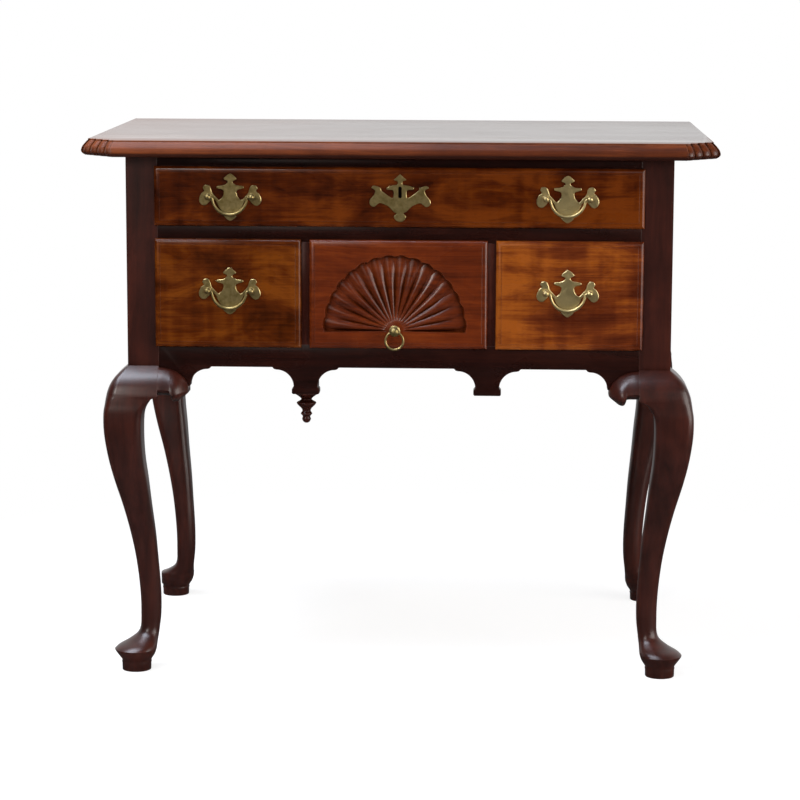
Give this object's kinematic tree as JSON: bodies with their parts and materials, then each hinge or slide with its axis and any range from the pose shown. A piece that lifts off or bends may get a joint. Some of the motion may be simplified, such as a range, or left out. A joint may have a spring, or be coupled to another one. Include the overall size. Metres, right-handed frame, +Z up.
{
  "type": "lowboy",
  "caption": "Dressing table on cabriole legs with one wide and three small lipped drawers, a carved fan, a shaped apron and swinging bail pulls.",
  "frame": {"origin": "bottom centre of the bounding box, on the floor below the middle of the case", "axes": "+X right seen from the front, +Y to the back, +Z up"},
  "size_m": [0.894, 0.5454, 0.762],
  "materials": {
    "case_wood": "dark polished mahogany",
    "top_wood": "high gloss mahogany",
    "drawer_wood": "polished figured mahogany",
    "secondary_wood": "bare planed softwood",
    "brass": "aged, dull",
    "iron": "dark"
  },
  "bodies": {
    "case": {"top_board": "top_wood", "leg_front_left": "case_wood", "leg_front_right": "case_wood", "leg_rear_left": "case_wood", "leg_rear_right": "case_wood", "bracket_front_left": "case_wood", "bracket_front_right": "case_wood", "bracket_side_front_left": "case_wood", "bracket_side_front_right": "case_wood", "bracket_side_rear_left": "case_wood", "bracket_side_rear_right": "case_wood", "side_panel_left": "case_wood", "side_panel_right": "case_wood", "back_board": "secondary_wood", "top_rail": "case_wood", "middle_rail": "case_wood", "apron": "case_wood", "pendant": "case_wood", "divider_left": "case_wood", "divider_right": "case_wood", "top_runner_left": "secondary_wood", "top_runner_right": "secondary_wood", "lower_runner_outer_left": "secondary_wood", "lower_runner_outer_right": "secondary_wood", "lower_runner_inner_left": "secondary_wood", "lower_runner_inner_right": "secondary_wood"},
    "drawer_top": {"drawer_top_front": "drawer_wood", "drawer_top_side_left": "secondary_wood", "drawer_top_side_right": "secondary_wood", "drawer_top_back": "secondary_wood", "drawer_top_bottom": "secondary_wood", "pull_plate_top_left": "brass", "pull_plate_top_right": "brass", "escutcheon": "brass", "lock_case": "iron"},
    "drawer_left": {"drawer_left_front": "drawer_wood", "drawer_left_side_left": "secondary_wood", "drawer_left_side_right": "secondary_wood", "drawer_left_back": "secondary_wood", "drawer_left_bottom": "secondary_wood", "pull_plate_left": "brass"},
    "drawer_centre": {"drawer_centre_front": "drawer_wood", "drawer_centre_side_left": "secondary_wood", "drawer_centre_side_right": "secondary_wood", "drawer_centre_back": "secondary_wood", "drawer_centre_bottom": "secondary_wood", "ring_boss": "brass"},
    "drawer_right": {"drawer_right_front": "drawer_wood", "drawer_right_side_left": "secondary_wood", "drawer_right_side_right": "secondary_wood", "drawer_right_back": "secondary_wood", "drawer_right_bottom": "secondary_wood", "pull_plate_right": "brass"},
    "bail_top_left": {"bail_top_left": "brass"},
    "bail_top_right": {"bail_top_right": "brass"},
    "bail_left": {"bail_left": "brass"},
    "bail_right": {"bail_right": "brass"},
    "ring": {"ring": "brass"},
    "lock_bolt": {"lock_bolt": "iron"}
  },
  "joints": [
    {"name": "drawer_top_slide", "type": "slide", "parent": "case", "child": "drawer_top", "axis": [0, -1, 0], "range_m": [0, 0.33]},
    {"name": "drawer_left_slide", "type": "slide", "parent": "case", "child": "drawer_left", "axis": [0, -1, 0], "range_m": [0, 0.33]},
    {"name": "drawer_centre_slide", "type": "slide", "parent": "case", "child": "drawer_centre", "axis": [0, -1, 0], "range_m": [0, 0.33]},
    {"name": "drawer_right_slide", "type": "slide", "parent": "case", "child": "drawer_right", "axis": [0, -1, 0], "range_m": [0, 0.33]},
    {"name": "bail_top_left_swing", "type": "hinge", "parent": "drawer_top", "child": "bail_top_left", "pos_m": [-0.2352, -0.258, 0.6838], "axis": [-1, 0, 0], "range_deg": [-13, 120]},
    {"name": "bail_top_right_swing", "type": "hinge", "parent": "drawer_top", "child": "bail_top_right", "pos_m": [0.2352, -0.258, 0.6838], "axis": [-1, 0, 0], "range_deg": [-13, 120]},
    {"name": "bail_left_swing", "type": "hinge", "parent": "drawer_left", "child": "bail_left", "pos_m": [-0.2367, -0.258, 0.55205], "axis": [-1, 0, 0], "range_deg": [-13, 120]},
    {"name": "bail_right_swing", "type": "hinge", "parent": "drawer_right", "child": "bail_right", "pos_m": [0.2367, -0.258, 0.55205], "axis": [-1, 0, 0], "range_deg": [-13, 120]},
    {"name": "ring_swing", "type": "hinge", "parent": "drawer_centre", "child": "ring", "pos_m": [-0.005, -0.2565, 0.4963], "axis": [-1, 0, 0], "range_deg": [-13, 120]},
    {"name": "lock_bolt_slide", "type": "slide", "parent": "drawer_top", "child": "lock_bolt", "axis": [0, 0, 1], "range_m": [0, 0.007]}
  ]
}
